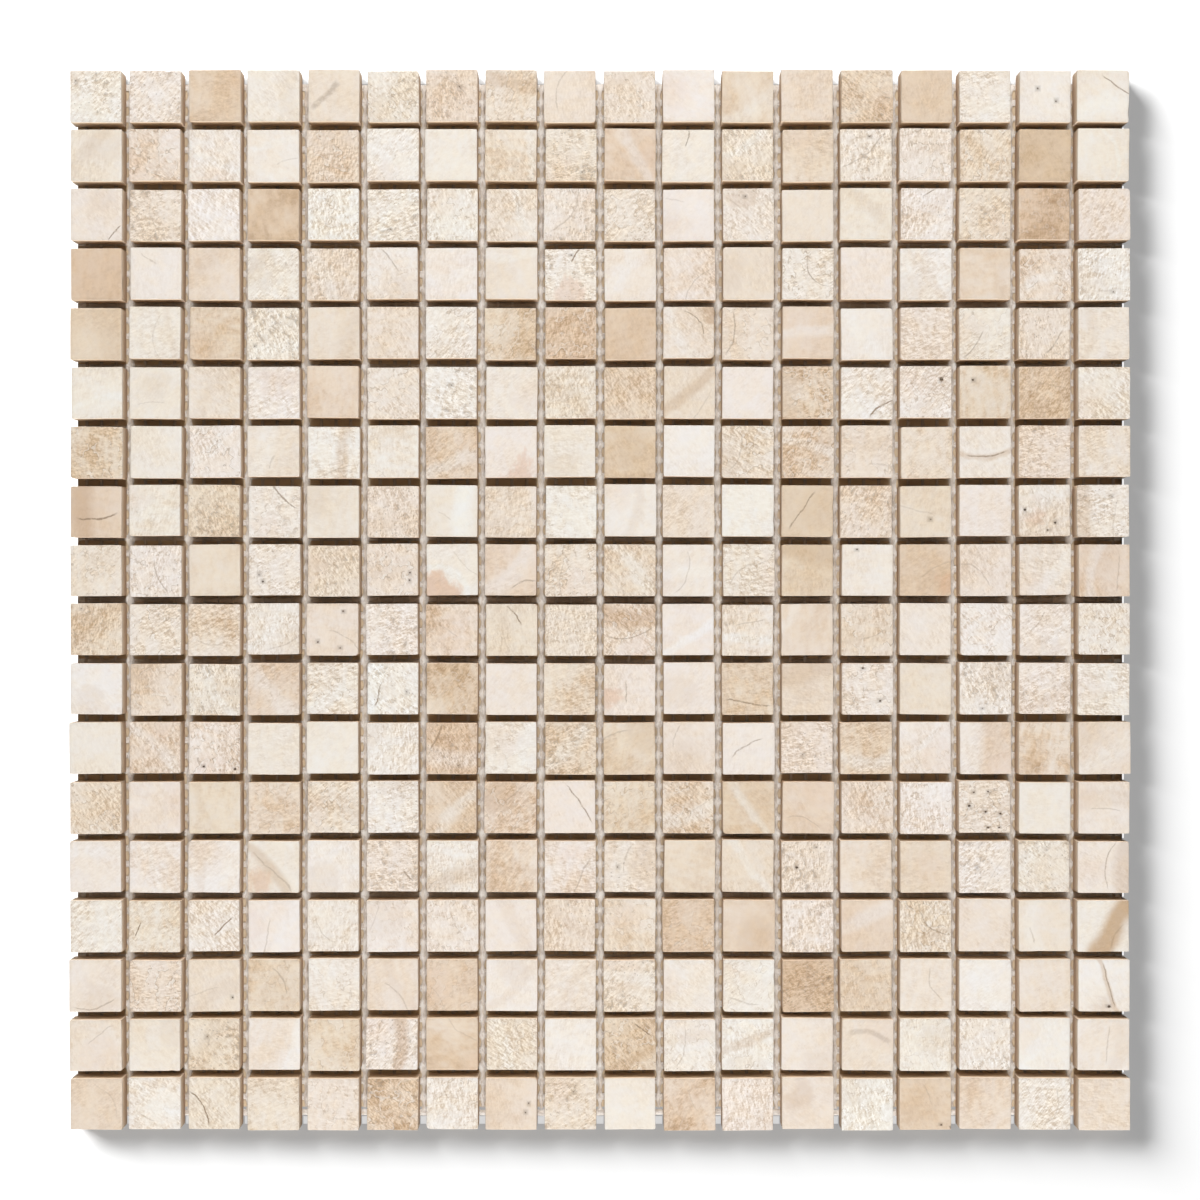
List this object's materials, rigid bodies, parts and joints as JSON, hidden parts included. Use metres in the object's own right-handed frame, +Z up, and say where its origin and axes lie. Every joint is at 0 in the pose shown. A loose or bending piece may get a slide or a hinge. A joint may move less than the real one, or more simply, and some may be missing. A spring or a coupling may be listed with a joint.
{
  "type": "mosaic tile sheet",
  "caption": "Square sheet of small beige marble mosaic chips, laid in straight rows with open joints on a glass-fibre backing mesh, for bedding on a wall or floor.",
  "frame": {"origin": "middle of the sheet's footprint, on the underside of the backing mesh", "axes": "+Z up, out of the honed faces; rows of chips along X; the picture's top edge is +Y"},
  "size_m": [0.3046, 0.3045, 0.0075],
  "materials": {
    "marble": "honed cream and beige marble with soft clouds and fine veins, sawn sides",
    "mesh_yarn": "resin-coated glass-fibre yarn, whitish"
  },
  "bodies": {
    "root": {"tile_row_01": "marble", "tile_row_02": "marble", "tile_row_03": "marble", "tile_row_04": "marble", "tile_row_05": "marble", "tile_row_06": "marble", "tile_row_07": "marble", "tile_row_08": "marble", "tile_row_09": "marble", "tile_row_10": "marble", "tile_row_11": "marble", "tile_row_12": "marble", "tile_row_13": "marble", "tile_row_14": "marble", "tile_row_15": "marble", "tile_row_16": "marble", "tile_row_17": "marble", "tile_row_18": "marble", "mesh_warp": "mesh_yarn", "mesh_weft": "mesh_yarn"}
  },
  "joints": []
}
